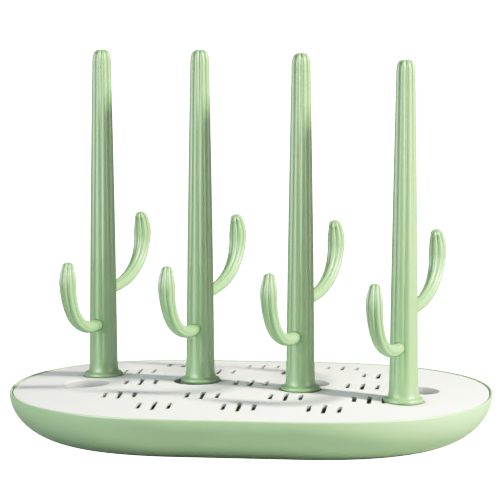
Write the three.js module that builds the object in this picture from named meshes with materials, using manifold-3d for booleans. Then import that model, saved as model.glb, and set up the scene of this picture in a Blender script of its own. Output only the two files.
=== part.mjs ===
// A drying rack for feeding bottles: an oval drip tray, a crowned drain plate that lifts
// out of it, and a row of four cactus-shaped posts that pull out of the plate. Bottles
// stand upside down over the trunks, and teats and small parts hang on the arms.
// Millimetres, +Z up, +X along the tray's long axis, origin on the table under its centre.
import * as THREE from "three";
import { mergeVertices } from "three/addons/utils/BufferGeometryUtils.js";
import Module from "manifold-3d";

const GAP = 0.3; // clearance where one piece sits in another
const SAME_POINT = 1e-4; // corners closer than this are one corner

// Anti-slip pads under the tray
const PAD_RADIUS = 7;
const PAD_PROUD = 0.8;
const PAD_SUNK = 1;
const PAD_CHAMFER = 0.3;
const PAD_X = 105;
const PAD_Y = 55;

// Oval outline: superelliptic ends joined by a short straight middle
const TRAY_LENGTH = 357;
const TRAY_WIDTH = 245;
const STRAIGHT_HALF = 43;
const END_POWER = 2.23;
const OUTLINE_STEPS = 46;

// Drip tray: its wall is part of an ellipse, cut off by the flat bottom
const TRAY_DEPTH = 33.8;
const WALL_RISE = 35.5;
const WALL_RUN = 46.5;
const TRAY_WALL = 2.4;
const RIM_WALL = 1.9;
const RIM_TOP = PAD_PROUD + TRAY_DEPTH;
const RIM_TURNS = [0, 0.33, 0.67, 1]; // how far over the rolled rim each ring lies
const LEDGE_WIDTH = 3;
const LEDGE_THICK = 1.5;
const OUTER_WALL_STEPS = 6;
const INNER_WALL_STEPS = 4;

// Drain plate
const RIM_CLEARANCE = 0.6;
const PLATE_INSET = RIM_WALL + RIM_CLEARANCE;
const PLATE_CROWN = 5.3;
const PLATE_THICK = 2.4;
const PLATE_BELOW_RIM = 0.7;
const PLATE_EDGE = RIM_TOP - PLATE_BELOW_RIM;
const EDGE_ROUND = 0.7;
const ROUND_MIDDLE = 0.3; // share of a rounded edge that its middle ring stands back
const SKIRT_DEPTH = 5;
const SKIRT_WALL = 1.8;
const LEDGE_TOP = PLATE_EDGE - SKIRT_DEPTH;
const CROWN_STEPS = [0.45, 0.8];
const SCALE_HALVINGS = 40; // rounds of bisection for the outline through a point
const ABOVE_PLATE = RIM_TOP + 2 * PLATE_CROWN; // clear of everything on the plate

// Drain slots: groups of three run front to back, in five rows
const SLOT_WIDTH = 3.4;
const SLOT_END_SEGMENTS = 2;
const SLOT_LENGTH = 19;
const MIDDLE_SLOT_LENGTH = 26;
const SLOT_PITCH = 10.95;
const SLOT_ROWS = [
  { y: 82.5, groups: 3, pitch: 61.1 },
  { y: 48.5, groups: 4, pitch: 60.7 },
  { y: 0, groups: 3, pitch: 82.5 },
  { y: -48.5, groups: 4, pitch: 60.7 },
  { y: -82.5, groups: 3, pitch: 61.1 },
];

// The row of posts crosses the plate at an angle to its long axis
const POST_COUNT = 4;
const POST_PITCH = 81.5;
const ROW_ANGLE = THREE.MathUtils.degToRad(-19);
const ROW_CENTRE_Y = -6.5;
const SEAT_SINK = 1;
const SEAT_RADIUS = 15.2;

// Finger wells: the outer two lift the plate, the inner two reach under a post's foot
const WELL_RADIUS = 17;
const WELL_DEPTH = 8;
const WELL_WALL = 2;
const WELL_DRAIN_RADIUS = 3;
const OUTER_WELL = { x: 122.6, y: -3 };
const INNER_WELL = { x: 40.9, y: 5 };
const PEDESTAL_RADIUS = 14.7;

// Post trunk, measured up from its seat
const POST_HEIGHT = 247;
const TRUNK_RADIUS = 10.8;
const TRUNK_TAPER = 3.7;
const TAPER_POWER = 1.45;
const TIP_LENGTH = 13;
const TIP_POWER = 3.4;
const TRUNK_WALL = 2.4;
const HOLLOW_HEIGHT = 228;
const FOOT_PROFILE = [
  [13.4, 0],
  [14.2, 0.8],
  [14.5, 2.1],
  [14, 3.3],
  [12.8, 3.9],
  [11.6, 4.8],
  [10.95, 6.6],
];
const FOOT_TOP = 9;
const TRUNK_HEIGHTS = [0.1, 0.3, 0.5, 0.7, 0.86];
const HOLLOW_HEIGHTS = [1, 0.5, 0];
const DOME_TURNS = [0, 0.35, 0.65, 0.88]; // shares of a right angle, from shoulder to tip

// Ribs round the trunk and the arms, with a crease between each two
const RIBS = 8;
const TRUNK_RIB_STEPS = 2;
const ARM_RIB_STEPS = 2;
const RIB_DEPTH_LOW = 0.55;
const RIB_DEPTH_HIGH = 1.3;
const RIB_POWER = 2;
const TIP_RIB_SHARE = 0.45; // deepest crease near a tip, as a share of the radius there

// Post plug: closes the hollow trunk and keys into the plate's D-shaped socket
const PLUG_RADIUS = 7;
const PLUG_FLAT = 5.6;
const PLUG_LENGTH = 14;
const SPIGOT_HEIGHT = 12;
const COLLAR_RADIUS = 9.7;
const COLLAR_LENGTH = 12;
const ROUND_STEPS = 18;

// Arms: a curve in the upright plane square to the row, as reach from the trunk's axis
// and height above the seat, with the root first and the tip last
const LOWER_ARM = {
  side: -1,
  curve: [[9, 40.7], [52.8, 37.1], [57.2, 73.2], [54.5, 88.9]],
  rootRadius: 4.2,
  bodyRadius: 6.6,
  tipRadius: 4.9,
};
const UPPER_ARM = {
  side: 1,
  curve: [[9, 65.5], [60.5, 66.2], [69.2, 94.4], [62.5, 113.7]],
  rootRadius: 4.1,
  bodyRadius: 6.9,
  tipRadius: 5.1,
};
const ARM_ROOT_REACH = 6;
const ARM_STEPS = [0.14, 0.3, 0.46, 0.62, 0.8, 0.92];
const ARM_FULL_AT = 0.8;
const ARM_RIB_DEPTH = 1.1;
const CAP_LENGTH = 5;
const CAP_POWER = 2.3;

const GREEN = { color: 0x9fc49a, roughness: 0.38, metalness: 0 };
const TRAY_GREEN = { color: 0xa6cba0, roughness: 0.34, metalness: 0 };
const WHITE = { color: 0xf2f3f1, roughness: 0.42, metalness: 0 };
const CLEAR_GREY = { color: 0xc9cdca, roughness: 0.75, metalness: 0 };

const wasm = await Module();
wasm.setup();

// A closed skin through rings of equal length, with a fan to a pole at each end.
function closedSkin(rings, firstPole, lastPole) {
  const count = rings[0].length;
  const points = [firstPole, ...rings.flat(), lastPole];
  const index = [];
  const at = (ring, i) => 1 + ring * count + (i % count);
  const last = points.length - 1;
  for (let i = 0; i < count; i++) {
    index.push(0, at(0, i + 1), at(0, i));
    for (let ring = 0; ring + 1 < rings.length; ring++) {
      index.push(at(ring, i), at(ring, i + 1), at(ring + 1, i + 1));
      index.push(at(ring, i), at(ring + 1, i + 1), at(ring + 1, i));
    }
    index.push(last, at(rings.length - 1, i), at(rings.length - 1, i + 1));
  }
  const geometry = new THREE.BufferGeometry().setFromPoints(points);
  geometry.setIndex(index);
  return geometry;
}

function toSolid(geometry) {
  const bare = geometry.clone();
  bare.deleteAttribute("normal");
  bare.deleteAttribute("uv");
  const merged = mergeVertices(bare, SAME_POINT);
  return new wasm.Manifold(
    new wasm.Mesh({
      numProp: 3,
      vertProperties: new Float32Array(merged.attributes.position.array),
      triVerts: new Uint32Array(merged.index.array),
    }),
  );
}

function toGeometry(solid) {
  const mesh = solid.getMesh();
  const geometry = new THREE.BufferGeometry();
  geometry.setAttribute("position", new THREE.BufferAttribute(mesh.vertProperties, 3));
  geometry.setIndex(new THREE.BufferAttribute(mesh.triVerts, 1));
  geometry.computeVertexNormals();
  return geometry;
}

// An upright cylinder between two heights.
function cylinder(radius, low, high, x = 0, y = 0) {
  const geometry = new THREE.CylinderGeometry(radius, radius, high - low, ROUND_STEPS);
  geometry.rotateX(Math.PI / 2);
  geometry.translate(x, y, (low + high) / 2);
  return toSolid(geometry);
}

// A D-shaped prism: a cylinder with one flat, `flat` from its axis on the +X side.
function keyedPrism(radius, flat, low, high) {
  const half = Math.acos(flat / radius);
  const shape = new THREE.Shape();
  shape.absarc(0, 0, radius, half, 2 * Math.PI - half, false);
  shape.closePath();
  const geometry = new THREE.ExtrudeGeometry(shape, {
    depth: high - low,
    bevelEnabled: false,
    curveSegments: ROUND_STEPS,
  });
  geometry.translate(0, 0, low);
  return geometry;
}

// One ring of the oval outline, moved in by `inset`, then scaled about the centre.
function ovalRing(inset, z, scale = 1) {
  const ring = [];
  const reach = TRAY_LENGTH / 2 - inset - STRAIGHT_HALF;
  const half = TRAY_WIDTH / 2 - inset;
  for (let i = 0; i < OUTLINE_STEPS; i++) {
    const angle = (i / OUTLINE_STEPS) * 2 * Math.PI;
    const along = Math.cos(angle);
    const across = Math.sin(angle);
    const x = Math.sign(along) * (STRAIGHT_HALF + reach * Math.abs(along) ** (2 / END_POWER));
    const y = Math.sign(across) * half * Math.abs(across) ** (2 / END_POWER);
    ring.push(new THREE.Vector3(x * scale, y * scale, z));
  }
  return ring;
}

// Height of the plate's crowned top where its outline is scaled by `scale`.
function crownHeight(scale) {
  return PLATE_EDGE + PLATE_CROWN * (1 - scale ** END_POWER);
}

// The scale of the plate's outline that passes through a point, by bisection.
function outlineScaleAt(x, y) {
  const reach = TRAY_LENGTH / 2 - PLATE_INSET - STRAIGHT_HALF;
  const half = TRAY_WIDTH / 2 - PLATE_INSET;
  let low = 0;
  let high = 1;
  for (let i = 0; i < SCALE_HALVINGS; i++) {
    const scale = (low + high) / 2;
    const along = Math.max(0, Math.abs(x) / scale - STRAIGHT_HALF) / reach;
    const across = Math.abs(y) / scale / half;
    if (along ** END_POWER + across ** END_POWER > 1) low = scale;
    else high = scale;
  }
  return high;
}

function plateTopAt(x, y) {
  return crownHeight(outlineScaleAt(x, y));
}

function postPlaces() {
  const places = [];
  for (let i = 0; i < POST_COUNT; i++) {
    const along = (i - (POST_COUNT - 1) / 2) * POST_PITCH;
    const x = along * Math.cos(ROW_ANGLE);
    const y = along * Math.sin(ROW_ANGLE) + ROW_CENTRE_Y;
    places.push({ x, y, seat: plateTopAt(x, y) - SEAT_SINK });
  }
  return places;
}

function trayGeometry() {
  const rings = [];
  const lowest = Math.asin(TRAY_DEPTH / WALL_RISE);
  for (let i = 0; i < OUTER_WALL_STEPS; i++) {
    const angle = lowest * (1 - i / OUTER_WALL_STEPS);
    const inset = WALL_RUN * (1 - Math.cos(angle));
    rings.push(ovalRing(inset, RIM_TOP - WALL_RISE * Math.sin(angle)));
  }
  const roundRim = RIM_WALL / 2;
  for (const turn of RIM_TURNS) {
    const inset = roundRim * (1 - Math.cos(turn * Math.PI));
    rings.push(ovalRing(inset, RIM_TOP - roundRim * (1 - Math.sin(turn * Math.PI))));
  }
  const ledgeInset = RIM_WALL + LEDGE_WIDTH;
  rings.push(ovalRing(RIM_WALL, LEDGE_TOP));
  rings.push(ovalRing(ledgeInset, LEDGE_TOP));
  rings.push(ovalRing(ledgeInset, LEDGE_TOP - LEDGE_THICK));
  const innerRise = WALL_RISE - TRAY_WALL;
  const innerRun = WALL_RUN - TRAY_WALL;
  const floor = PAD_PROUD + TRAY_WALL;
  const highest = Math.asin((RIM_TOP - LEDGE_TOP + 2 * LEDGE_THICK) / innerRise);
  const innerLowest = Math.asin((RIM_TOP - floor) / innerRise);
  for (let i = 0; i <= INNER_WALL_STEPS; i++) {
    const angle = highest + (innerLowest - highest) * (i / INNER_WALL_STEPS);
    const inset = WALL_RUN - innerRun * Math.cos(angle);
    rings.push(ovalRing(inset, RIM_TOP - innerRise * Math.sin(angle)));
  }
  const skin = closedSkin(
    rings,
    new THREE.Vector3(0, 0, PAD_PROUD),
    new THREE.Vector3(0, 0, floor),
  );
  let tray = toSolid(skin);
  for (const pad of padPlaces()) {
    const pocketTop = PAD_PROUD + PAD_SUNK + GAP;
    tray = tray.subtract(cylinder(PAD_RADIUS + GAP, 0, pocketTop, pad.x, pad.y));
  }
  return toGeometry(tray);
}

function padPlaces() {
  const places = [];
  for (const x of [-PAD_X, PAD_X]) for (const y of [-PAD_Y, PAD_Y]) places.push({ x, y });
  return places;
}

function padGeometry(place) {
  const profile = [
    [0, 0],
    [PAD_RADIUS - PAD_CHAMFER, 0],
    [PAD_RADIUS, PAD_CHAMFER],
    [PAD_RADIUS, PAD_PROUD + PAD_SUNK],
    [0, PAD_PROUD + PAD_SUNK],
  ].map(([r, z]) => new THREE.Vector2(r, z));
  const geometry = new THREE.LatheGeometry(profile, ROUND_STEPS);
  geometry.rotateX(Math.PI / 2);
  geometry.translate(place.x, place.y, 0);
  return geometry;
}

function plateSkin() {
  const rings = [];
  const inner = PLATE_INSET + SKIRT_WALL;
  const middle = EDGE_ROUND * ROUND_MIDDLE;
  for (const scale of CROWN_STEPS) {
    rings.push(ovalRing(PLATE_INSET, crownHeight(scale) - PLATE_THICK, scale));
  }
  rings.push(ovalRing(inner, PLATE_EDGE - PLATE_THICK));
  rings.push(ovalRing(inner, LEDGE_TOP));
  rings.push(ovalRing(PLATE_INSET, LEDGE_TOP));
  rings.push(ovalRing(PLATE_INSET, PLATE_EDGE - EDGE_ROUND));
  rings.push(ovalRing(PLATE_INSET + middle, PLATE_EDGE - middle));
  rings.push(ovalRing(PLATE_INSET + EDGE_ROUND, PLATE_EDGE));
  for (const scale of [...CROWN_STEPS].reverse()) {
    rings.push(ovalRing(PLATE_INSET, crownHeight(scale), scale));
  }
  const top = crownHeight(0);
  return closedSkin(
    rings,
    new THREE.Vector3(0, 0, top - PLATE_THICK),
    new THREE.Vector3(0, 0, top),
  );
}

function slotSolid(x, y, length) {
  const end = length / 2 - SLOT_WIDTH / 2;
  const shape = new THREE.Shape();
  shape.absarc(0, end, SLOT_WIDTH / 2, 0, Math.PI, false);
  shape.absarc(0, -end, SLOT_WIDTH / 2, Math.PI, 2 * Math.PI, false);
  shape.closePath();
  const geometry = new THREE.ExtrudeGeometry(shape, {
    depth: ABOVE_PLATE - LEDGE_TOP,
    bevelEnabled: false,
    curveSegments: SLOT_END_SEGMENTS,
  });
  geometry.translate(x, y, LEDGE_TOP);
  return toSolid(geometry);
}

function cutSlots(plate) {
  let cut = plate;
  for (const row of SLOT_ROWS) {
    for (let group = 0; group < row.groups; group++) {
      const centre = (group - (row.groups - 1) / 2) * row.pitch;
      for (const side of [-1, 0, 1]) {
        const length = side === 0 ? MIDDLE_SLOT_LENGTH : SLOT_LENGTH;
        cut = cut.subtract(slotSolid(centre + side * SLOT_PITCH, row.y, length));
      }
    }
  }
  return cut;
}

// A round finger well with its own wall and a drain hole in its floor.
function addOuterWell(plate, x, y) {
  const top = plateTopAt(x, y);
  const floor = top - WELL_DEPTH;
  const cupTop = top - PLATE_THICK / 2;
  const cup = cylinder(WELL_RADIUS + WELL_WALL, floor - WELL_WALL, cupTop, x, y);
  const hollow = cylinder(WELL_RADIUS, floor, ABOVE_PLATE, x, y);
  const drain = cylinder(WELL_DRAIN_RADIUS, floor - 2 * WELL_WALL, top, x, y);
  return plate.add(cup).subtract(hollow).subtract(drain);
}

// A finger well that runs into the ring round a post's foot. The foot stands on a hollow
// pedestal in it.
function addInnerWell(plate, x, y, post) {
  const top = plateTopAt(x, y);
  const floor = top - WELL_DEPTH;
  const bottom = floor - WELL_WALL;
  const cupTop = top - PLATE_THICK / 2;
  const cup = cylinder(WELL_RADIUS + WELL_WALL, bottom, cupTop, x, y);
  const ringCup = cylinder(SEAT_RADIUS + WELL_WALL, bottom, cupTop, post.x, post.y);
  const hollow = cylinder(WELL_RADIUS, floor, ABOVE_PLATE, x, y);
  const ring = cylinder(SEAT_RADIUS, floor, ABOVE_PLATE, post.x, post.y);
  const underSeat = post.seat - PLATE_THICK;
  const pedestal = cylinder(PEDESTAL_RADIUS, bottom, post.seat, post.x, post.y);
  const coreBottom = bottom - WELL_WALL;
  const core = cylinder(PEDESTAL_RADIUS - WELL_WALL, coreBottom, underSeat, post.x, post.y);
  return plate.add(cup).add(ringCup).subtract(hollow.add(ring)).add(pedestal).subtract(core);
}

// A flat round seat let into the plate for a post's foot.
function addSeat(plate, { x, y, seat }) {
  const pad = cylinder(SEAT_RADIUS + WELL_WALL, seat - PLATE_THICK, seat, x, y);
  return plate.add(pad).subtract(cylinder(SEAT_RADIUS, seat, ABOVE_PLATE, x, y));
}

// The keyed socket in its collar under a seat.
function addSocket(plate, { x, y, seat }) {
  const low = seat - PLATE_THICK - COLLAR_LENGTH;
  const collar = cylinder(COLLAR_RADIUS, low, seat - PLATE_THICK / 2, x, y);
  const socket = keyedPrism(PLUG_RADIUS + GAP, PLUG_FLAT + GAP, low - 1, ABOVE_PLATE);
  socket.rotateZ(ROW_ANGLE);
  socket.translate(x, y, 0);
  return plate.add(collar).subtract(toSolid(socket));
}

function plateGeometry() {
  const posts = postPlaces();
  let plate = toSolid(plateSkin());
  plate = addOuterWell(plate, -OUTER_WELL.x, OUTER_WELL.y);
  plate = addOuterWell(plate, OUTER_WELL.x, OUTER_WELL.y);
  plate = addSeat(plate, posts[0]);
  plate = addSeat(plate, posts[3]);
  plate = addInnerWell(plate, -INNER_WELL.x, INNER_WELL.y, posts[1]);
  plate = addInnerWell(plate, INNER_WELL.x, INNER_WELL.y, posts[2]);
  for (const place of posts) plate = addSocket(plate, place);
  return toGeometry(cutSlots(plate));
}

function trunkRadius(height) {
  return TRUNK_RADIUS - TRUNK_TAPER * (height / POST_HEIGHT) ** TAPER_POWER;
}

// How far a rib's surface lies below its crest, `turn` of the way round.
function ribDip(turn, depth) {
  const inRib = turn * RIBS - Math.round(turn * RIBS);
  return depth * Math.abs(2 * inRib) ** RIB_POWER;
}

function ribbedRing(radius, depth, z) {
  const ring = [];
  const steps = RIBS * TRUNK_RIB_STEPS;
  for (let i = 0; i < steps; i++) {
    const r = radius - ribDip(i / steps, depth);
    const angle = (i / steps) * 2 * Math.PI;
    ring.push(new THREE.Vector3(r * Math.cos(angle), r * Math.sin(angle), z));
  }
  return ring;
}

// A point on an arm's centreline: reach, height and the direction it runs in.
function armCentre(arm, t) {
  const [a, b, c, d] = arm.curve.map(([reach, z]) => new THREE.Vector2(reach, z));
  const curve = new THREE.CubicBezierCurve(a, b, c, d);
  return { point: curve.getPoint(t), tangent: curve.getTangent(t) };
}

// How far along a dome and how wide it is, `turn` of a right angle up from its shoulder.
function domeAt(turn, power) {
  const angle = (turn * Math.PI) / 2;
  return { lift: Math.sin(angle) ** (2 / power), width: Math.cos(angle) ** (2 / power) };
}

// The trunk is hollow and open at its foot, round inside and ribbed outside.
function trunkGeometry() {
  const rings = [];
  const inner = (z) => trunkRadius(Math.max(z, FOOT_TOP)) - TRUNK_WALL;
  for (const part of HOLLOW_HEIGHTS) {
    rings.push(ribbedRing(inner(HOLLOW_HEIGHT * part), 0, HOLLOW_HEIGHT * part));
  }
  for (const [radius, z] of FOOT_PROFILE) rings.push(ribbedRing(radius, 0, z));
  rings.push(ribbedRing(trunkRadius(FOOT_TOP), RIB_DEPTH_LOW / 2, FOOT_TOP));
  for (const part of TRUNK_HEIGHTS) {
    const depth = RIB_DEPTH_LOW + (RIB_DEPTH_HIGH - RIB_DEPTH_LOW) * part;
    rings.push(ribbedRing(trunkRadius(POST_HEIGHT * part), depth, POST_HEIGHT * part));
  }
  const shoulder = POST_HEIGHT - TIP_LENGTH;
  for (const turn of DOME_TURNS) {
    const { lift, width } = domeAt(turn, TIP_POWER);
    const radius = trunkRadius(shoulder) * width;
    const depth = Math.min(RIB_DEPTH_HIGH, radius * TIP_RIB_SHARE);
    rings.push(ribbedRing(radius, depth, shoulder + TIP_LENGTH * lift));
  }
  const skin = closedSkin(
    rings,
    new THREE.Vector3(0, 0, HOLLOW_HEIGHT),
    new THREE.Vector3(0, 0, POST_HEIGHT),
  );
  let trunk = toSolid(skin);
  for (const arm of [LOWER_ARM, UPPER_ARM]) trunk = trunk.subtract(armHole(arm));
  return toGeometry(trunk);
}

// A straight round hole through the trunk's wall along the arm's root.
function armHole(arm) {
  const { point, tangent } = armCentre(arm, 0);
  const length = 2 * TRUNK_RADIUS;
  const radius = arm.rootRadius + GAP;
  const geometry = new THREE.CylinderGeometry(radius, radius, length, ROUND_STEPS);
  geometry.translate(0, length / 2 - TRUNK_RADIUS, 0);
  geometry.rotateZ(Math.atan2(tangent.y, tangent.x) - Math.PI / 2);
  geometry.translate(point.x, point.y, 0);
  geometry.rotateX(Math.PI / 2);
  geometry.rotateZ((arm.side * Math.PI) / 2);
  return toSolid(geometry);
}

function armGeometry(arm) {
  const rings = [];
  const steps = RIBS * ARM_RIB_STEPS;
  const addRing = (centre, tangent, radius, depth) => {
    const ring = [];
    for (let i = 0; i < steps; i++) {
      const angle = (i / steps) * 2 * Math.PI;
      const r = radius - ribDip(i / steps, depth);
      const out = r * Math.cos(angle);
      const reach = centre.x + out * tangent.y;
      const z = centre.y - out * tangent.x;
      ring.push(new THREE.Vector3(-r * Math.sin(angle), reach, z));
    }
    rings.push(ring);
  };
  const root = armCentre(arm, 0);
  const back = (root.point.x - ARM_ROOT_REACH) / root.tangent.x;
  const start = root.point.clone().addScaledVector(root.tangent, -back);
  addRing(start, root.tangent, arm.rootRadius, 0);
  addRing(root.point, root.tangent, arm.rootRadius, 0);
  for (const t of ARM_STEPS) {
    const { point, tangent } = armCentre(arm, t);
    const grown = Math.min(1, t / ARM_FULL_AT);
    const closing = Math.max(0, (t - ARM_FULL_AT) / (1 - ARM_FULL_AT)) ** 2;
    const radius = arm.rootRadius + (arm.bodyRadius - arm.rootRadius) * grown;
    const narrowed = radius - (arm.bodyRadius - arm.tipRadius) * closing;
    addRing(point, tangent, narrowed, ARM_RIB_DEPTH * grown);
  }
  const tip = armCentre(arm, 1);
  for (const turn of DOME_TURNS) {
    const { lift, width } = domeAt(turn, CAP_POWER);
    const centre = tip.point.clone().addScaledVector(tip.tangent, CAP_LENGTH * lift);
    const radius = arm.tipRadius * width;
    addRing(centre, tip.tangent, radius, Math.min(ARM_RIB_DEPTH, radius * TIP_RIB_SHARE));
  }
  const end = tip.point.clone().addScaledVector(tip.tangent, CAP_LENGTH);
  const geometry = closedSkin(
    rings,
    new THREE.Vector3(0, start.x, start.y),
    new THREE.Vector3(0, end.x, end.y),
  );
  if (arm.side < 0) geometry.rotateZ(Math.PI);
  return geometry;
}

// The plug: a round spigot in the trunk above a keyed peg in the plate's socket.
function plugGeometry() {
  const spigotRadius = trunkRadius(FOOT_TOP) - TRUNK_WALL - GAP;
  const spigot = cylinder(spigotRadius, 0, SPIGOT_HEIGHT);
  const peg = toSolid(keyedPrism(PLUG_RADIUS, PLUG_FLAT, -PLUG_LENGTH, SPIGOT_HEIGHT / 2));
  return toGeometry(spigot.add(peg));
}

function mesh(name, geometry, look) {
  const made = new THREE.Mesh(geometry, new THREE.MeshStandardMaterial(look));
  made.name = name;
  return made;
}

// One cactus post: trunk, plug and both arms, on its seat in the plate.
function post(number, place) {
  const group = new THREE.Group();
  group.add(mesh(`post_trunk_${number}`, trunkGeometry(), GREEN));
  group.add(mesh(`post_plug_${number}`, plugGeometry(), WHITE));
  group.add(mesh(`lower_arm_${number}`, armGeometry(LOWER_ARM), GREEN));
  group.add(mesh(`upper_arm_${number}`, armGeometry(UPPER_ARM), GREEN));
  group.position.set(place.x, place.y, place.seat);
  group.rotation.z = ROW_ANGLE;
  return group;
}

const rack = new THREE.Group();
rack.add(mesh("drip_tray", trayGeometry(), TRAY_GREEN));
padPlaces().forEach((place, i) => {
  rack.add(mesh(`anti_slip_pad_${i + 1}`, padGeometry(place), CLEAR_GREY));
});
rack.add(mesh("drain_plate", plateGeometry(), WHITE));
postPlaces().forEach((place, i) => rack.add(post(i + 1, place)));

export default rack;
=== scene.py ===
import math
from functools import partial

import bpy
import numpy as np
from mathutils import Matrix, Vector


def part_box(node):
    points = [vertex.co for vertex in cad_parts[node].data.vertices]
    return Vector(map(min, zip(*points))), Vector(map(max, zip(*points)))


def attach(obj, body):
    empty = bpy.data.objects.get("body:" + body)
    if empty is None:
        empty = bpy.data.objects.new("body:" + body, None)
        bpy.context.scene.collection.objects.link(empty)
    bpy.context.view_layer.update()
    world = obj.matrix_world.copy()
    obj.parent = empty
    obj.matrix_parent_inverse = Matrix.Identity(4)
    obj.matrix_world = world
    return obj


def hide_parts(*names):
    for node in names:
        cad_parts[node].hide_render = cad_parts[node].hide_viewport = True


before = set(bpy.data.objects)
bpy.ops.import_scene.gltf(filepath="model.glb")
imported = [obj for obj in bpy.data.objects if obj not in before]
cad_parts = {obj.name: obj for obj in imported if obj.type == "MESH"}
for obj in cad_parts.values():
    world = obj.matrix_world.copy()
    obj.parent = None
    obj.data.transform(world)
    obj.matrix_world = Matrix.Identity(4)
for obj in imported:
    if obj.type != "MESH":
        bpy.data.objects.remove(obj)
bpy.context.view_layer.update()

# Finished surfaces for a cactus-style bottle drying rack, built round its CAD frame.
# Lengths are in metres. Ring stacks are lofted into closed skins, then cut where one
# piece lets in another, so that every visible shape is real geometry.

MM = 0.001
GAP = 0.3 * MM  # clearance where one piece sits in another

# Places that come from the frame
tray_low, tray_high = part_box("drip_tray")
plate_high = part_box("drain_plate")[1]
pad_low, pad_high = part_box("anti_slip_pad_1")
trunk_low, trunk_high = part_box("post_trunk_1")
NUMBERS = (1, 2, 3, 4)  # there are four posts and four pads


def foot_centre(node):
    """The middle of a node's underside."""
    low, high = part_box(node)
    return Vector(((low.x + high.x) / 2, (low.y + high.y) / 2, low.z))


SEATS = [foot_centre(f"post_trunk_{number}") for number in NUMBERS]
ROW_STEP = SEATS[-1] - SEATS[0]
ROW_ANGLE = math.atan2(ROW_STEP.y, ROW_STEP.x)

# Oval outline shared by the tray and the plate: superelliptic ends, straight between
HALF_LENGTH = (tray_high.x - tray_low.x) / 2
HALF_WIDTH = 122.5 * MM
STRAIGHT_HALF = 43 * MM
END_POWER = 2.23
ARC_STEPS = 116
STRAIGHT_STEPS = 14
CIRCLE_STEPS = 96

# Tray: its wall is part of an ellipse, cut off by the flat bottom
PAD_PROUD = tray_low.z
RIM_TOP = tray_high.z
WALL_RISE = 35.5 * MM
WALL_RUN = 46.5 * MM
TRAY_WALL = 2.4 * MM
TRAY_FLOOR = PAD_PROUD + TRAY_WALL
RIM_WALL = 1.9 * MM
LEDGE_WIDTH = 3 * MM
LEDGE_THICK = 1.5 * MM
BASE_ROUND = 1.5 * MM
BASE_TURNS = np.linspace(0.15, 1, 5)
WALL_START = 0.965  # share of the wall's arc above its rounded base
WALL_STEPS = 30
RIM_STEPS = 13
INNER_STEPS = 18

# Pads: (radius, height) shares of a profile with a rolled edge and a shallow dish
PAD_RADIUS = (pad_high.y - pad_low.y) / 2
PAD_DISH = 0.12
PAD_PROFILE = (
    (0.5, PAD_DISH),
    (0.55, PAD_DISH),
    (0.6, 0),
    (0.9, 0),
    (0.97, 0.06),
    (1, 0.22),
    (1, 1),
)

# Plate
PLATE_INSET = RIM_WALL + 0.6 * MM
PLATE_CROWN = 5.3 * MM
PLATE_THICK = 2.4 * MM
PLATE_EDGE = plate_high.z - PLATE_CROWN
ABOVE_PLATE = plate_high.z + 2 * PLATE_CROWN
EDGE_ROUND = 0.9 * MM
EDGE_STEPS = 8
UNDER_SCALES = np.linspace(0.08, 0.97, 14)
TOP_SCALES = np.linspace(0.985, 0.03, 44)
SKIRT_WALL = 1.8 * MM
LEDGE_TOP = PLATE_EDGE - 5 * MM
SCALE_HALVINGS = 40  # rounds of bisection for the outline through a point

# Slots: groups of three run front to back; each row is (y, groups, pitch)
SLOT_WIDTH = 3.4 * MM
SLOT_LENGTH = 19 * MM
MIDDLE_SLOT_LENGTH = 26 * MM
SLOT_PITCH = 10.95 * MM
SLOT_ROUNDING = 0.45 * MM
SLOT_END_STEPS = 11
SLOT_ROWS = (
    (82.5 * MM, 3, 61.1 * MM),
    (48.5 * MM, 4, 60.7 * MM),
    (0, 3, 82.5 * MM),
    (-48.5 * MM, 4, 60.7 * MM),
    (-82.5 * MM, 3, 61.1 * MM),
)

# Cut rims roll over the plate's top through these angles, then flare clear of it
ROLL_DEGREES = (0, 25, 50, 72)
FLARE_OUT = 2.2
FLARE_UP = 0.35
FLARE_TOP = 2.3

# Finger wells and post seats
WELL_RADIUS = 17 * MM
WELL_DEPTH = 8 * MM
WELL_WALL = 2 * MM
WELL_ROUNDING = 0.6 * MM
WELL_DRAIN_RADIUS = 3 * MM
OUTER_WELL = Vector((122.6 * MM, -3 * MM))
INNER_WELL = Vector((40.9 * MM, 5 * MM))
SEAT_RADIUS = 15.2 * MM
SEAT_ROUNDING = 0.35 * MM
PEDESTAL_RADIUS = 14.7 * MM

# Plug and its socket
PLUG_RADIUS = 7 * MM
PLUG_FLAT = 5.6 * MM
PLUG_LENGTH = 14 * MM
PLUG_LEAD_IN = ((1.2, 0), (0.4, 0.3), (0, 1.2))  # millimetres in from the side, up from the end
PLUG_ROUND_STEPS = 61
PLUG_FLAT_STEPS = 13
SPIGOT_HEIGHT = 12 * MM
SPIGOT_BEVEL = 1 * MM
COLLAR_RADIUS = 9.7 * MM
COLLAR_LENGTH = 12 * MM

# Trunk, measured up from its seat; the foot's profile is (radius, height) in millimetres
POST_HEIGHT = trunk_high.z - trunk_low.z
TRUNK_RADIUS = 10.8 * MM
TRUNK_TAPER = 3.7 * MM
TAPER_POWER = 1.45
TIP_LENGTH = 13 * MM
TIP_POWER = 3.4
TRUNK_WALL = 2.4 * MM
HOLLOW_HEIGHT = 228 * MM
HOLLOW_RINGS = 12
TRUNK_RINGS = 96
TIP_RINGS = 16
FOOT_TOP = 9 * MM
FOOT_PROFILE = (
    (13.4, 0.0),
    (13.95, 0.25),
    (14.3, 0.85),
    (14.5, 1.6),
    (14.5, 2.3),
    (14.3, 2.95),
    (13.95, 3.4),
    (13.4, 3.65),
    (12.8, 3.78),
    (12.3, 4.0),
    (11.75, 4.45),
    (11.3, 5.15),
    (11.05, 6.1),
    (10.9, 7.4),
)

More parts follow.
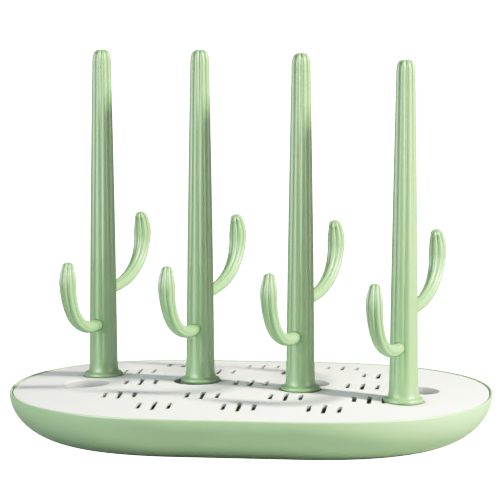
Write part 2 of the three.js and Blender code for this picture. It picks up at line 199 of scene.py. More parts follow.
# Ribs round the trunk and the arms, with a crease between each two
RIBS = 8
RIB_STEPS = 14
RIB_TURN = np.arange(RIBS * RIB_STEPS) / (RIBS * RIB_STEPS)
RIB_DEPTH_LOW = 0.55 * MM
RIB_DEPTH_HIGH = 1.3 * MM
RIB_POWER = 2
RIB_FADE = 1.5 * FOOT_TOP  # height over which the ribs grow out of the plain foot
RIB_START = 0.1
TIP_RIB_SHARE = 0.45  # deepest crease near a tip, as a share of the radius there

# Arms: reach from the trunk's axis and height above the seat in millimetres, root first
LOWER_ARM = {
    "side": -1,
    "curve": ((9, 40.7), (52.8, 37.1), (57.2, 73.2), (54.5, 88.9)),
    "root": 4.2 * MM,
    "body": 6.6 * MM,
    "tip": 4.9 * MM,
}
UPPER_ARM = {
    "side": 1,
    "curve": ((9, 65.5), (60.5, 66.2), (69.2, 94.4), (62.5, 113.7)),
    "root": 4.1 * MM,
    "body": 6.9 * MM,
    "tip": 5.1 * MM,
}
ARM_ROOT_REACH = 6 * MM
ARM_ROOT_BEVEL = 0.4 * MM
ARM_FULL_AT = 0.8
ARM_RIB_DEPTH = 1.1 * MM
ARM_RIB_GROWTH = 0.8
ARM_RINGS = 64
CAP_LENGTH = 5 * MM
CAP_POWER = 2.3
CAP_RINGS = 14

# Edges sharper than this stay sharp, in degrees
SHARP = 42
PLATE_SHARP = 50
ARM_SHARP = 60

# Surface detail: noise scales are per metre
CLOUD_SCALE = 26
CLOUD_BAND = (0.3, 0.7)
RUBBED_BAND = (0.52, 0.62)  # pointiness from a plain face to a fully rubbed edge
RUBBED_MOST = 0.08
# Painted shade: base colours are darkened in hollows, by ambient occlusion over this reach
SHADE_PAINT_REACH = 14 * MM
SHADE_PAINT_OPEN_AT = 0.5  # share of open sky below which the painted shade in a hollow is darkest
GLOSS_SCALE = 90
GLOSS_SPREAD = 0.06
GRAIN_SCALE = 1600
GRAIN_DEPTH = 0.05 * MM
RIPPLE_SCALE = 160
RIPPLE_STRENGTH = 0.12
RIPPLE_DEPTH = 0.1 * MM
SOFT_DEPTH = 2.5 * MM

# Studio
FLOOR_SIZE = 30
FLOOR_GREY = (0.5, 0.5, 0.5, 1)
BACKDROP_GLOW = 2.5  # how white the floor and the air beyond it look to the camera
AIR_LIGHT = 0.36
HIGHLIGHT_CURVE = ((0.3, 0.3), (0.6, 0.585), (0.93, 0.775), (1.32, 0.93), (2, 1), (4, 1))
MIDDLE = Vector((0, 0, 0.14))
CAMERA_PLACE = (0.2291, -2.0809, 0.4242)
CAMERA_DOWN = 7.775  # degrees below level
CAMERA_TURN = 6.302  # degrees left of straight along Y
CAMERA_LENS = 206.8


# ---------------------------------------------------------------- mesh building


def make_object(name, points, faces):
    """A mesh object from an array of points and a list of faces."""
    mesh = bpy.data.meshes.new(name)
    mesh.from_pydata([tuple(p) for p in points], [], faces)
    mesh.validate()
    made = bpy.data.objects.new(name, mesh)
    bpy.context.scene.collection.objects.link(made)
    return made


def loft(name, rings, first_pole=None, last_pole=None):
    """A closed skin through rings, with a fan to a pole at each end. A pole that isn't
    given is the middle of its ring."""
    first_pole = rings[0].mean(0) if first_pole is None else first_pole
    last_pole = rings[-1].mean(0) if last_pole is None else last_pole
    count = len(rings[0])
    points = np.vstack([[first_pole], *rings, [last_pole]])
    last = len(points) - 1
    top = last - count
    faces = []
    for i in range(count):
        j = (i + 1) % count
        faces.append((0, 1 + j, 1 + i))
        for a in range(1, top, count):
            faces.append((a + i, a + j, a + count + j, a + count + i))
        faces.append((last, top + i, top + j))
    return make_object(name, points, faces)


def combine(target, tool, operation):
    """Applies a boolean to target with tool, then removes tool."""
    modifier = target.modifiers.new(operation, "BOOLEAN")
    modifier.operation = operation
    modifier.object = tool
    modifier.solver = "MANIFOLD"
    graph = bpy.context.evaluated_depsgraph_get()
    result = bpy.data.meshes.new_from_object(target.evaluated_get(graph))
    target.modifiers.clear()
    old = target.data
    target.data = result
    bpy.data.meshes.remove(old)
    bpy.data.objects.remove(tool)


def add(target, rings):
    combine(target, loft("added", rings), "UNION")


def cut(target, rings):
    combine(target, loft("cut", rings), "DIFFERENCE")


def smooth(piece, sharp_degrees=SHARP):
    """Smooth shading with sharp edges kept, and normals led by the large faces."""
    piece.data.shade_smooth()
    piece.data.set_sharp_from_angle(angle=math.radians(sharp_degrees))
    weighted = piece.modifiers.new("normals", "WEIGHTED_NORMAL")
    weighted.keep_sharp = True
    weighted.weight = 100
    return piece


def level(loop, z):
    """A flat outline as a ring at height z, or at one height for each point."""
    return np.column_stack((loop, np.full(len(loop), z)))


def round_loop(centre, radius, grow=0.0):
    """A circle's outline, grown outwards by grow."""
    angle = np.linspace(0, 2 * math.pi, CIRCLE_STEPS, endpoint=False)
    x = centre[0] + (radius + grow) * np.cos(angle)
    y = centre[1] + (radius + grow) * np.sin(angle)
    return np.column_stack((x, y))


def cylinder(centre, radius, low, high):
    """Rings of an upright cylinder."""
    loop = round_loop(centre, radius)
    return [level(loop, low), level(loop, high)]


# ---------------------------------------------------------------- oval outline


def outline_terms():
    """For each outline point: its share of the straight, of the end's reach, and of
    the half width."""
    terms = []
    for end in (1, -1):
        for angle in np.linspace(-math.pi / 2, math.pi / 2, ARC_STEPS, endpoint=False):
            reach = math.cos(angle) ** (2 / END_POWER)
            across = math.copysign(abs(math.sin(angle)) ** (2 / END_POWER), angle)
            terms.append((end, end * reach, end * across))
        for share in np.linspace(1, -1, STRAIGHT_STEPS, endpoint=False):
            terms.append((end * share, 0, end))
    return np.array(terms).T


STRAIGHT_TERM, REACH_TERM, ACROSS_TERM = outline_terms()


def oval(inset, z, scale=1.0):
    """The outline moved in by inset, then scaled about the centre, at height z."""
    x = STRAIGHT_TERM * STRAIGHT_HALF + REACH_TERM * (HALF_LENGTH - inset - STRAIGHT_HALF)
    y = ACROSS_TERM * (HALF_WIDTH - inset)
    return level(np.column_stack((x, y)) * scale, z)


def crown_height(scale):
    """Height of the plate's top where the outline is scaled down to scale."""
    return PLATE_EDGE + PLATE_CROWN * (1 - scale**END_POWER)


def plate_top(points):
    """Height of the plate's crowned top over flat points, by bisection on the scale of
    the outline through each."""
    x, y = np.abs(np.asarray(points, float)).T
    reach = HALF_LENGTH - PLATE_INSET - STRAIGHT_HALF
    half = HALF_WIDTH - PLATE_INSET
    low = np.zeros_like(x)
    high = np.ones_like(x)
    for _ in range(SCALE_HALVINGS):
        scale = (low + high) / 2
        along = np.maximum(0, x / scale - STRAIGHT_HALF) / reach
        outside = along**END_POWER + (y / scale / half) ** END_POWER > 1
        low = np.where(outside, scale, low)
        high = np.where(outside, high, scale)
    return crown_height(high)


def top_at(place):
    """Height of the plate's top at one place."""
    return float(plate_top([place])[0])


# ---------------------------------------------------------------- tray and pads


def tray_outside():
    """Rings from the flat bottom, up the wall and over the rolled rim."""
    lowest = math.asin((RIM_TOP - PAD_PROUD) / WALL_RISE)
    bottom_inset = WALL_RUN * (1 - math.cos(lowest))
    rings = [oval(bottom_inset + 2 * BASE_ROUND, PAD_PROUD)]
    for turn in BASE_TURNS:
        lift = BASE_ROUND * turn**2 / 4
        rings.append(oval(bottom_inset + BASE_ROUND * (1 - turn), PAD_PROUD + lift))
    for angle in np.linspace(lowest * WALL_START, 0, WALL_STEPS, endpoint=False):
        inset = WALL_RUN * (1 - math.cos(angle))
        rings.append(oval(inset, RIM_TOP - WALL_RISE * math.sin(angle)))
    half_rim = RIM_WALL / 2
    for turn in np.linspace(0, math.pi, RIM_STEPS):
        height = RIM_TOP - half_rim * (1 - math.sin(turn))
        rings.append(oval(half_rim * (1 - math.cos(turn)), height))
    return rings


def tray_inside():
    """Rings down from the rim over the plate's ledge and along the inner wall."""
    ledge_inset = RIM_WALL + LEDGE_WIDTH
    rings = [oval(RIM_WALL, LEDGE_TOP), oval(ledge_inset, LEDGE_TOP)]
    rings.append(oval(ledge_inset, LEDGE_TOP - LEDGE_THICK))
    inner_rise = WALL_RISE - TRAY_WALL
    inner_run = WALL_RUN - TRAY_WALL
    highest = math.asin((RIM_TOP - LEDGE_TOP + 2 * LEDGE_THICK) / inner_rise)
    lowest = math.asin((RIM_TOP - TRAY_FLOOR) / inner_rise)
    for angle in np.linspace(highest, lowest, INNER_STEPS):
        inset = WALL_RUN - inner_run * math.cos(angle)
        rings.append(oval(inset, RIM_TOP - inner_rise * math.sin(angle)))
    return rings


def build_tray():
    rings = tray_outside() + tray_inside()
    tray = loft("drip_tray_shell", rings, (0, 0, PAD_PROUD), (0, 0, TRAY_FLOOR))
    for number in NUMBERS:
        place = foot_centre(f"anti_slip_pad_{number}")
        cut(tray, cylinder(place, PAD_RADIUS + GAP, 0, pad_high.z + GAP))
    return smooth(tray)


def build_pad(number):
    """A soft round pad with a rolled lower edge and a dish pressed into its face."""
    place = foot_centre(f"anti_slip_pad_{number}")
    height = pad_high.z - pad_low.z
    rings = []
    for radius, share in PAD_PROFILE:
        rings.append(level(round_loop(place, PAD_RADIUS * radius), place.z + height * share))
    return smooth(loft(f"anti_slip_pad_{number}_soft", rings))


# ---------------------------------------------------------------- drain plate


def plate_skin():
    """Rings from the middle of the underside, round the skirt and edge, over the top."""
    rings = []
    for scale in UNDER_SCALES:
        rings.append(oval(PLATE_INSET, crown_height(scale) - PLATE_THICK, scale))
    rings.append(oval(PLATE_INSET + SKIRT_WALL, PLATE_EDGE - PLATE_THICK))
    rings.append(oval(PLATE_INSET + SKIRT_WALL, LEDGE_TOP))
    rings.append(oval(PLATE_INSET, LEDGE_TOP))
    for turn in np.linspace(0, math.pi / 2, EDGE_STEPS):
        inset = PLATE_INSET + EDGE_ROUND * (1 - math.cos(turn))
        rings.append(oval(inset, PLATE_EDGE - EDGE_ROUND * (1 - math.sin(turn))))
    for scale in TOP_SCALES:
        rings.append(oval(PLATE_INSET, crown_height(scale), scale))
    top = crown_height(0)
    return loft("drain_plate_shell", rings, (0, 0, top - PLATE_THICK), (0, 0, top))


def slot_loop(x, y, length, grow):
    """A stadium outline running along Y, grown outwards by grow."""
    radius = SLOT_WIDTH / 2 + grow
    end = (length - SLOT_WIDTH) / 2
    half = np.linspace(0, math.pi, SLOT_END_STEPS)
    angle = np.concatenate((half, half + math.pi))
    middle = y + np.repeat((end, -end), len(half))
    return np.column_stack((x + radius * np.cos(angle), middle + radius * np.sin(angle)))


def joined_loop(first, first_radius, second, second_radius, grow):
    """Outline of two overlapping circles, grown outwards by grow."""
    r1 = first_radius + grow
    r2 = second_radius + grow
    offset = second - first
    distance = offset.length
    heading = math.atan2(offset.y, offset.x)
    a1 = math.acos((distance**2 + r1**2 - r2**2) / (2 * distance * r1))
    a2 = math.acos((distance**2 + r2**2 - r1**2) / (2 * distance * r2))
    around_first = np.linspace(heading + a1, heading + 2 * math.pi - a1, CIRCLE_STEPS)
    around_second = np.linspace(heading - math.pi + a2, heading + math.pi - a2, CIRCLE_STEPS)
    loops = []
    arcs = ((first, r1, around_first), (second, r2, around_second[1:-1]))
    for centre, radius, angle in arcs:
        x = centre.x + radius * np.cos(angle)
        loops.append(np.column_stack((x, centre.y + radius * np.sin(angle))))
    return np.vstack(loops)


def rounded_cut(loop_at, bottom, rounding):
    """Rings of a cutter whose rim rolls over the crowned top: loop_at(grow) gives its
    outline, grown outwards."""
    rings = [level(loop_at(0), bottom)]
    for turn in np.radians(ROLL_DEGREES):
        loop = loop_at(rounding * (1 - math.cos(turn)))
        rings.append(level(loop, plate_top(loop) - rounding * (1 - math.sin(turn))))
    loop = loop_at(FLARE_OUT * rounding)
    rings.append(level(loop, plate_top(loop) + FLARE_UP * rounding))
    rings.append(level(loop_at(FLARE_TOP * rounding), ABOVE_PLATE))
    return rings


def cut_slots(plate):
    for row_y, groups, pitch in SLOT_ROWS:
        for group in range(groups):
            centre = (group - (groups - 1) / 2) * pitch
            for side in (-1, 0, 1):
                length = SLOT_LENGTH if side else MIDDLE_SLOT_LENGTH
                loop_at = partial(slot_loop, centre + side * SLOT_PITCH, row_y, length)
                cut(plate, rounded_cut(loop_at, LEDGE_TOP, SLOT_ROUNDING))


def add_outer_well(plate, side):
    """A round finger well with its own wall and a drain hole in its floor."""
    place = Vector((side * OUTER_WELL.x, OUTER_WELL.y))
    top = top_at(place)
    floor = top - WELL_DEPTH
    add(plate, cylinder(place, WELL_RADIUS + WELL_WALL, floor - WELL_WALL, top - PLATE_THICK / 2))
    cut(plate, rounded_cut(partial(round_loop, place, WELL_RADIUS), floor, WELL_ROUNDING))
    cut(plate, cylinder(place, WELL_DRAIN_RADIUS, floor - 2 * WELL_WALL, floor + WELL_WALL))


def add_inner_well(plate, side, seat):
    """A finger well that runs into the ring round a post's foot, which stands on a
    hollow pedestal in it."""
    place = Vector((side * INNER_WELL.x, INNER_WELL.y))
    post = seat.xy
    top = top_at(place)
    floor = top - WELL_DEPTH
    bottom = floor - WELL_WALL
    add(plate, cylinder(place, WELL_RADIUS + WELL_WALL, bottom, top - PLATE_THICK / 2))
    add(plate, cylinder(post, SEAT_RADIUS + WELL_WALL, bottom, seat.z))
    loop_at = partial(joined_loop, place, WELL_RADIUS, post, SEAT_RADIUS)
    cut(plate, rounded_cut(loop_at, floor, WELL_ROUNDING))
    add(plate, cylinder(post, PEDESTAL_RADIUS, floor - WELL_WALL / 2, seat.z))
    core_radius = PEDESTAL_RADIUS - WELL_WALL
    cut(plate, cylinder(post, core_radius, bottom - WELL_WALL, seat.z - PLATE_THICK))


def add_seat(plate, seat):
    """A flat round seat let into the plate for a post's foot."""
    add(plate, cylinder(seat, SEAT_RADIUS + WELL_WALL, seat.z - PLATE_THICK, seat.z))
    cut(plate, rounded_cut(partial(round_loop, seat, SEAT_RADIUS), seat.z, SEAT_ROUNDING))


def keyed_loop(shrink=0.0, centre=(0, 0)):
    """The plug's D-shaped outline, a circle with one flat, turned with the row."""
    radius = PLUG_RADIUS - shrink
    flat = PLUG_FLAT - shrink
    half = math.acos(flat / radius)
    angle = np.linspace(half, 2 * math.pi - half, PLUG_ROUND_STEPS)
    flat_y = np.linspace(-1, 1, PLUG_FLAT_STEPS)[1:-1] * radius * math.sin(half)
    x = np.concatenate((radius * np.cos(angle), np.full(len(flat_y), flat)))
    y = np.concatenate((radius * np.sin(angle), flat_y))
    c, s = math.cos(ROW_ANGLE), math.sin(ROW_ANGLE)
    return np.column_stack((centre[0] + c * x - s * y, centre[1] + s * x + c * y))


def add_socket(plate, seat):
    """The keyed socket in its collar under a seat."""
    low = seat.z - PLATE_THICK - COLLAR_LENGTH
    add(plate, cylinder(seat, COLLAR_RADIUS, low, seat.z - PLATE_THICK / 2))
    loop = keyed_loop(-GAP, seat)
    cut(plate, [level(loop, low - MM), level(loop, seat.z + MM)])


def build_plate():
    plate = plate_skin()
    add_outer_well(plate, -1)
    add_outer_well(plate, 1)
    add_seat(plate, SEATS[0])
    add_seat(plate, SEATS[3])
    add_inner_well(plate, -1, SEATS[1])
    add_inner_well(plate, 1, SEATS[2])
    for seat in SEATS:
        add_socket(plate, seat)
    cut_slots(plate)
    return smooth(plate, PLATE_SHARP)


# ---------------------------------------------------------------- posts


def trunk_radius(height):
    return TRUNK_RADIUS - TRUNK_TAPER * (height / POST_HEIGHT) ** TAPER_POWER


def ribbed(radius, depth):
    """Radii round a ribbed section: radius at the ribs' crests, depth less in the
    creases."""
    in_rib = RIB_TURN * RIBS - np.round(RIB_TURN * RIBS)
    return radius - depth * np.abs(2 * in_rib) ** RIB_POWER


def trunk_ring(radius, depth, z):
    r = ribbed(radius, depth)
    angle = 2 * math.pi * RIB_TURN
    return level(np.column_stack((r * np.cos(angle), r * np.sin(angle))), z)


def dome(radius, length, power, depth, steps):
    """Height, radius and crease depth of each ring of a ribbed dome above its shoulder."""
    for turn in np.linspace(0, math.pi / 2, steps, endpoint=False)[1:]:
        lift = length * math.sin(turn) ** (2 / power)
        width = radius * math.cos(turn) ** (2 / power)
        yield lift, width, min(depth, TIP_RIB_SHARE * width)


def build_trunk(number, seat):
    """A hollow trunk, from the top of its bore down, round its foot and up to its tip."""
    rings = []
    for height in np.linspace(HOLLOW_HEIGHT, 0, HOLLOW_RINGS):
        rings.append(trunk_ring(trunk_radius(max(height, FOOT_TOP)) - TRUNK_WALL, 0, height))
    for radius, height in FOOT_PROFILE:
        rings.append(trunk_ring(radius * MM, 0, height * MM))
    shoulder = POST_HEIGHT - TIP_LENGTH
    for height in np.linspace(FOOT_TOP, shoulder, TRUNK_RINGS):
        grown = min(1, (height - FOOT_TOP) / RIB_FADE + RIB_START)
        depth = RIB_DEPTH_LOW + (RIB_DEPTH_HIGH - RIB_DEPTH_LOW) * height / POST_HEIGHT
        rings.append(trunk_ring(trunk_radius(height), depth * grown, height))
    tip = dome(trunk_radius(shoulder), TIP_LENGTH, TIP_POWER, RIB_DEPTH_HIGH, TIP_RINGS)
    for lift, width, depth in tip:
        rings.append(trunk_ring(width, depth, shoulder + lift))
    name = f"cactus_trunk_{number}"
    trunk = loft(name, rings, (0, 0, HOLLOW_HEIGHT), (0, 0, POST_HEIGHT))
    for arm in (LOWER_ARM, UPPER_ARM):
        combine(trunk, arm_hole(arm), "DIFFERENCE")
    return smooth(stand(trunk, seat))


def arm_centre(arm, t):
    """Point and unit direction on an arm's centreline, as (reach, height)."""
    a, b, c, d = (np.array(p) * MM for p in arm["curve"])
    s = 1 - t
    point = s**3 * a + 3 * s * s * t * b + 3 * s * t * t * c + t**3 * d
    slope = 3 * s * s * (b - a) + 6 * s * t * (c - b) + 3 * t * t * (d - c)
    return point, slope / np.linalg.norm(slope)


def arm_ring(centre, along, radius, depth):
    """A ribbed ring square to an arm's centreline, in the upright plane x = 0."""
    r = ribbed(radius, depth)
    angle = 2 * math.pi * RIB_TURN
    out = r * np.cos(angle)
    reach = centre[0] + out * along[1]
    height = centre[1] - out * along[0]
    return np.column_stack((-r * np.sin(angle), reach, height))


def turn_to_side(piece, arm):
    if arm["side"] < 0:
        piece.data.transform(Matrix.Rotation(math.pi, 4, "Z"))
    return piece


def arm_hole(arm):
    """A straight round cutter along the arm's root, through the trunk's wall."""
    point, along = arm_centre(arm, 0)
    rings = []
    for step in (-TRUNK_RADIUS / 2, TRUNK_RADIUS):
        rings.append(arm_ring(point + along * step, along, arm["root"] + GAP, 0))
    return turn_to_side(loft("arm_hole", rings), arm)


def build_arm(name, arm, seat):
    """A ribbed tube that swells from its round root to its domed tip."""
    root, along = arm_centre(arm, 0)
    start = root - along * (root[0] - ARM_ROOT_REACH) / along[0]
    rings = [arm_ring(start, along, arm["root"] - ARM_ROOT_BEVEL, 0)]
    rings.append(arm_ring(start + along * ARM_ROOT_BEVEL, along, arm["root"], 0))
    for t in np.linspace(0, 1, ARM_RINGS):
        point, along = arm_centre(arm, t)
        grown = min(1, t / ARM_FULL_AT)
        closing = max(0, (t - ARM_FULL_AT) / (1 - ARM_FULL_AT)) ** 2
        radius = arm["root"] + (arm["body"] - arm["root"]) * grown
        radius -= (arm["body"] - arm["tip"]) * closing
        rings.append(arm_ring(point, along, radius, ARM_RIB_DEPTH * grown**ARM_RIB_GROWTH))
    cap = dome(arm["tip"], CAP_LENGTH, CAP_POWER, ARM_RIB_DEPTH, CAP_RINGS)
    for lift, width, depth in cap:
        rings.append(arm_ring(point + along * lift, along, width, depth))
    tip = point + along * CAP_LENGTH
    piece = loft(name, rings, (0, start[0], start[1]), (0, tip[0], tip[1]))
    return smooth(stand(turn_to_side(piece, arm), seat), ARM_SHARP)


def build_plug(number, seat):
    """The keyed peg below the seat and the round spigot inside the trunk."""
    rings = []
    for inward, lift in PLUG_LEAD_IN:
        rings.append(level(keyed_loop(inward * MM), lift * MM - PLUG_LENGTH))
    rings.append(level(keyed_loop(), SPIGOT_HEIGHT / 2))
    peg = loft(f"post_plug_{number}_body", rings)
    peg.data.transform(Matrix.Rotation(-ROW_ANGLE, 4, "Z"))
    radius = trunk_radius(FOOT_TOP) - TRUNK_WALL - GAP
    spigot = cylinder((0, 0), radius, 0, SPIGOT_HEIGHT - SPIGOT_BEVEL)
    spigot.append(level(round_loop((0, 0), radius - SPIGOT_BEVEL), SPIGOT_HEIGHT))
    add(peg, spigot)
    return smooth(stand(peg, seat))


def stand(piece, seat):
    """Turns a piece with the row and stands it on its seat, in its mesh."""
    piece.data.transform(Matrix.Translation(seat) @ Matrix.Rotation(ROW_ANGLE, 4, "Z"))
    return piece


# ---------------------------------------------------------------- materials


def noise(tree, scale, detail):
    """A noise pattern in the piece's own coordinates."""
    coordinates = tree.nodes.new("ShaderNodeTexCoord")
    pattern = tree.nodes.new("ShaderNodeTexNoise")
    pattern.inputs["Scale"].default_value = scale
    pattern.inputs["Detail"].default_value = detail
    tree.links.new(coordinates.outputs["Object"], pattern.inputs["Vector"])
    return pattern.outputs["Fac"]


def remap(tree, value, old_range, new_range):
    """The value with old_range stretched onto new_range and held inside it."""
    node = tree.nodes.new("ShaderNodeMapRange")
    node.inputs["From Min"].default_value = old_range[0]
    node.inputs["From Max"].default_value = old_range[1]
    node.inputs["To Min"].default_value = new_range[0]
    node.inputs["To Max"].default_value = new_range[1]
    tree.links.new(value, node.inputs["Value"])
    return node.outputs["Result"]


def clouding(tree, colour, spread):
    """The colour with faint flow clouds, spread lighter and darker."""
    ramp = tree.nodes.new("ShaderNodeValToRGB")
    factors = (1 - spread, 1 + spread)
    for element, position, factor in zip(ramp.color_ramp.elements, CLOUD_BAND, factors):
        element.position = position
        element.color = [min(1, channel * factor) for channel in colour] + [1]
    tree.links.new(noise(tree, CLOUD_SCALE, 3), ramp.inputs["Fac"])
    return ramp.outputs["Color"]


def rubbed_edges(tree, clouds, colour):
    """Paler plastic where convex edges are rubbed."""
    geometry = tree.nodes.new("ShaderNodeNewGeometry")
    mix = tree.nodes.new("ShaderNodeMix")
    mix.data_type = "RGBA"
    mix.inputs["B"].default_value = [min(1, 0.4 + 0.65 * channel) for channel in colour] + [1]
    rub = remap(tree, geometry.outputs["Pointiness"], RUBBED_BAND, (0, RUBBED_MOST))
    tree.links.new(rub, mix.inputs["Factor"])
    tree.links.new(clouds, mix.inputs["A"])
    return mix.outputs["Result"]


def paint_hollow_shade(tree, base, deepest_painted_shade):
    """The base colour darkened in hollows as painted shade, led by ambient occlusion, down to the
    given share in the deepest.
    """
    hollow = tree.nodes.new("ShaderNodeAmbientOcclusion")
    hollow.inputs["Distance"].default_value = SHADE_PAINT_REACH
    hollow.samples = 8
    mix = tree.nodes.new("ShaderNodeMix")
    mix.data_type = "RGBA"
    mix.blend_type = "MULTIPLY"
    mix.inputs["Factor"].default_value = 1
    tree.links.new(base, mix.inputs["A"])
    shade = remap(tree, hollow.outputs["AO"], (SHADE_PAINT_OPEN_AT, 1), (deepest_painted_shade, 1))
    tree.links.new(shade, mix.inputs["B"])
    return mix.outputs["Result"]


def bumps(tree, grain):
    """Fine moulding grain over a faint ripple."""
    layers = (
        (GRAIN_SCALE, 2, grain, GRAIN_DEPTH),
        (RIPPLE_SCALE, 1, RIPPLE_STRENGTH, RIPPLE_DEPTH),
    )
    normal = None
    for scale, detail, strength, depth in layers:
        bump = tree.nodes.new("ShaderNodeBump")
        bump.inputs["Strength"].default_value = strength
        bump.inputs["Distance"].default_value = depth
        tree.links.new(noise(tree, scale, detail), bump.inputs["Height"])
        if normal:
            tree.links.new(normal, bump.inputs["Normal"])
        normal = bump.outputs["Normal"]
    return normal


def plastic(name, colour, roughness, spread, grain, soften, deepest_painted_shade):
    """Moulded plastic: flow clouds, rubbed edges, painted shade in hollows, grain, uneven gloss."""
    material = bpy.data.materials.new(name)
    material.use_nodes = True
    tree = material.node_tree
    shader = tree.nodes["Principled BSDF"]
    base = rubbed_edges(tree, clouding(tree, colour, spread), colour)
    # The base colour carries painted shade in its hollows
    tree.links.new(paint_hollow_shade(tree, base, deepest_painted_shade), shader.inputs["Base Color"])
    gloss_range = (roughness - GLOSS_SPREAD, roughness + GLOSS_SPREAD)
    gloss = remap(tree, noise(tree, GLOSS_SCALE, 4), (0, 1), gloss_range)
    tree.links.new(gloss, shader.inputs["Roughness"])
    tree.links.new(bumps(tree, grain), shader.inputs["Normal"])
    shader.inputs["Subsurface Weight"].default_value = soften
    shader.inputs["Subsurface Radius"].default_value = (1.0, 1.0, 0.6)
    shader.inputs["Subsurface Scale"].default_value = SOFT_DEPTH
    shader.inputs["Specular IOR Level"].default_value = 0.7
    return material


def cactus_green():
    return plastic("cactus_green_plastic", (0.25, 0.42, 0.212), 0.45, 0.03, 0.25, 0.1, 0.95)


# Painted light: a paler copy of the trunk's green, so that the arms show brighter, as if they
# caught more light
def arm_green_lit_copy():
    return plastic("arm_green_plastic", (0.275, 0.455, 0.245), 0.45, 0.03, 0.25, 0.1, 0.95)


def tray_green():
    return plastic("tray_green_plastic", (0.40, 0.61, 0.37), 0.42, 0.02, 0.25, 0.1, 0.95)


def plate_white():
    # The plate's hollows are painted down to 0.4 of its white, painted shade that greys its wells
    # and slots
    return plastic("plate_white_plastic", (0.86, 0.885, 0.915), 0.5, 0.01, 0.5, 0.3, 0.4)


def plug_white():
    return plastic("plug_white_plastic", (0.80, 0.81, 0.79), 0.5, 0.015, 0.5, 0.05, 0.8)


def pad_grey():
    return plastic("pad_grey_rubber", (0.55, 0.57, 0.55), 0.75, 0.04, 0.9, 0.0, 0.8)


# ---------------------------------------------------------------- floor, light, camera


def build_floor():
    """A white sweep that stays white to the camera but throws back less light."""
    corners = [(x * FLOOR_SIZE, y * FLOOR_SIZE, 0) for x, y in ((-1, -1), (1, -1), (1, 1), (-1, 1))]
    floor = make_object("floor", corners, [(0, 1, 2, 3)])
    material = bpy.data.materials.new("floor_white")
    material.use_nodes = True
    tree = material.node_tree
    shader = tree.nodes["Principled BSDF"]
    shader.inputs["Base Color"].default_value = FLOOR_GREY
    shader.inputs["Roughness"].default_value = 0.9
    shader.inputs["Specular IOR Level"].default_value = 0
    shader.inputs["Emission Color"].default_value = (1, 1, 1, 1)
    rays = tree.nodes.new("ShaderNodeLightPath")
    glow = remap(tree, rays.outputs["Is Camera Ray"], (0, 1), (0, BACKDROP_GLOW))
    tree.links.new(glow, shader.inputs["Emission Strength"])
    floor.data.materials.append(material)


def add_panel(name, heading, distance, height, size, watts, colour=(1, 1, 1)):
    """A soft rectangular light, at a heading in degrees and a distance from the rack's
    centre and a height above the floor, turned towards the middle of the rack."""
    data = bpy.data.lights.new(name, "AREA")
    data.shape = "RECTANGLE"
    data.size, data.size_y = size
    data.energy = watts
    data.color = colour
    panel = bpy.data.objects.new(name, data)
    bpy.context.scene.collection.objects.link(panel)
    angle = math.radians(heading)
    panel.location = (distance * math.cos(angle), distance * math.sin(angle), height)
    panel.rotation_euler = (MIDDLE - panel.location).to_track_quat("-Z", "Y").to_euler()
    return panel


def add_lights():
    """Even light from all round, a warm key off the end of the row, a fill from the left,
    and two tall strips that only show as reflections."""
    world = bpy.data.worlds.new("studio")
    world.use_nodes = True
    tree = world.node_tree
    background = tree.nodes["Background"]
    background.inputs["Color"].default_value = (1, 1, 1, 1)
    rays = tree.nodes.new("ShaderNodeLightPath")
    glow = remap(tree, rays.outputs["Is Camera Ray"], (0, 1), (AIR_LIGHT, BACKDROP_GLOW))
    tree.links.new(glow, background.inputs["Strength"])
    bpy.context.scene.world = world

    row = math.degrees(ROW_ANGLE)
    add_panel("key", row + 0.3, 1.625, 1.194, (0.12, 0.42), 70, (1.0, 0.95, 0.80))
    add_panel("left_fill", -156, 1.63, 0.6, (0.5, 1.2), 10)
    left_gleam = add_panel("left_gleam", -132.4, 0.95, 0.4, (0.42, 0.9), 26, (0.85, 1, 0.82))
    right_gleam = add_panel("right_gleam", row - 9, 1.02, 0.45, (0.28, 0.9), 14, (1, 0.95, 0.8))
    for gleam in (left_gleam, right_gleam):
        gleam.visible_diffuse = False


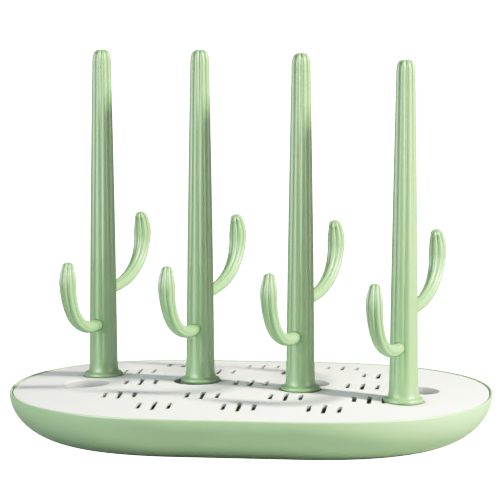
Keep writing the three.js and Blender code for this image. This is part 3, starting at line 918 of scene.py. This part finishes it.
def add_camera():
    """The camera stands 2.1 m off, a little to the right, looking slightly down."""
    data = bpy.data.cameras.new("camera")
    data.sensor_width = 36
    data.lens = CAMERA_LENS
    data.clip_start = 0.05
    data.clip_end = 100
    camera = bpy.data.objects.new("camera", data)
    bpy.context.scene.collection.objects.link(camera)
    camera.location = CAMERA_PLACE
    camera.rotation_euler = (math.radians(90 - CAMERA_DOWN), 0, math.radians(CAMERA_TURN))
    bpy.context.scene.camera = camera


def soften_highlights():
    """The picture's brightest tones roll off gently, channel by channel."""
    view = bpy.context.scene.view_settings
    view.view_transform = "Standard"
    view.use_curve_mapping = True
    mapping = view.curve_mapping
    mapping.clip_max_x = HIGHLIGHT_CURVE[-1][0]
    every_channel = mapping.curves[3]
    every_channel.points[1].location = HIGHLIGHT_CURVE[-1]
    for scene_light, shown in HIGHLIGHT_CURVE[:-1]:
        every_channel.points.new(scene_light, shown)
    mapping.update()


# ---------------------------------------------------------------- the rack


def finish_piece(piece, body, material, node):
    """Gives a piece its material, and lets it ride on a body in place of a CAD node."""
    piece.data.materials.clear()
    piece.data.materials.append(material)
    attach(piece, body)
    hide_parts(node)


def build_rack():
    finish_piece(build_tray(), "tray", tray_green(), "drip_tray")
    finish_piece(build_plate(), "plate", plate_white(), "drain_plate")
    rubber = pad_grey()
    green = cactus_green()
    # The arms take the paler copy of the trunk's green, painted light
    lit_copy_green = arm_green_lit_copy()
    white = plug_white()
    for number, seat in zip(NUMBERS, SEATS):
        pad = build_pad(number)
        finish_piece(pad, "tray", rubber, f"anti_slip_pad_{number}")
        body = f"post_{number}"
        trunk = build_trunk(number, seat)
        finish_piece(trunk, body, green, f"post_trunk_{number}")
        lower = build_arm(f"cactus_lower_arm_{number}", LOWER_ARM, seat)
        finish_piece(lower, body, lit_copy_green, f"lower_arm_{number}")
        upper = build_arm(f"cactus_upper_arm_{number}", UPPER_ARM, seat)
        finish_piece(upper, body, lit_copy_green, f"upper_arm_{number}")
        plug = build_plug(number, seat)
        finish_piece(plug, body, white, f"post_plug_{number}")


build_rack()
build_floor()
add_lights()
add_camera()
soften_highlights()
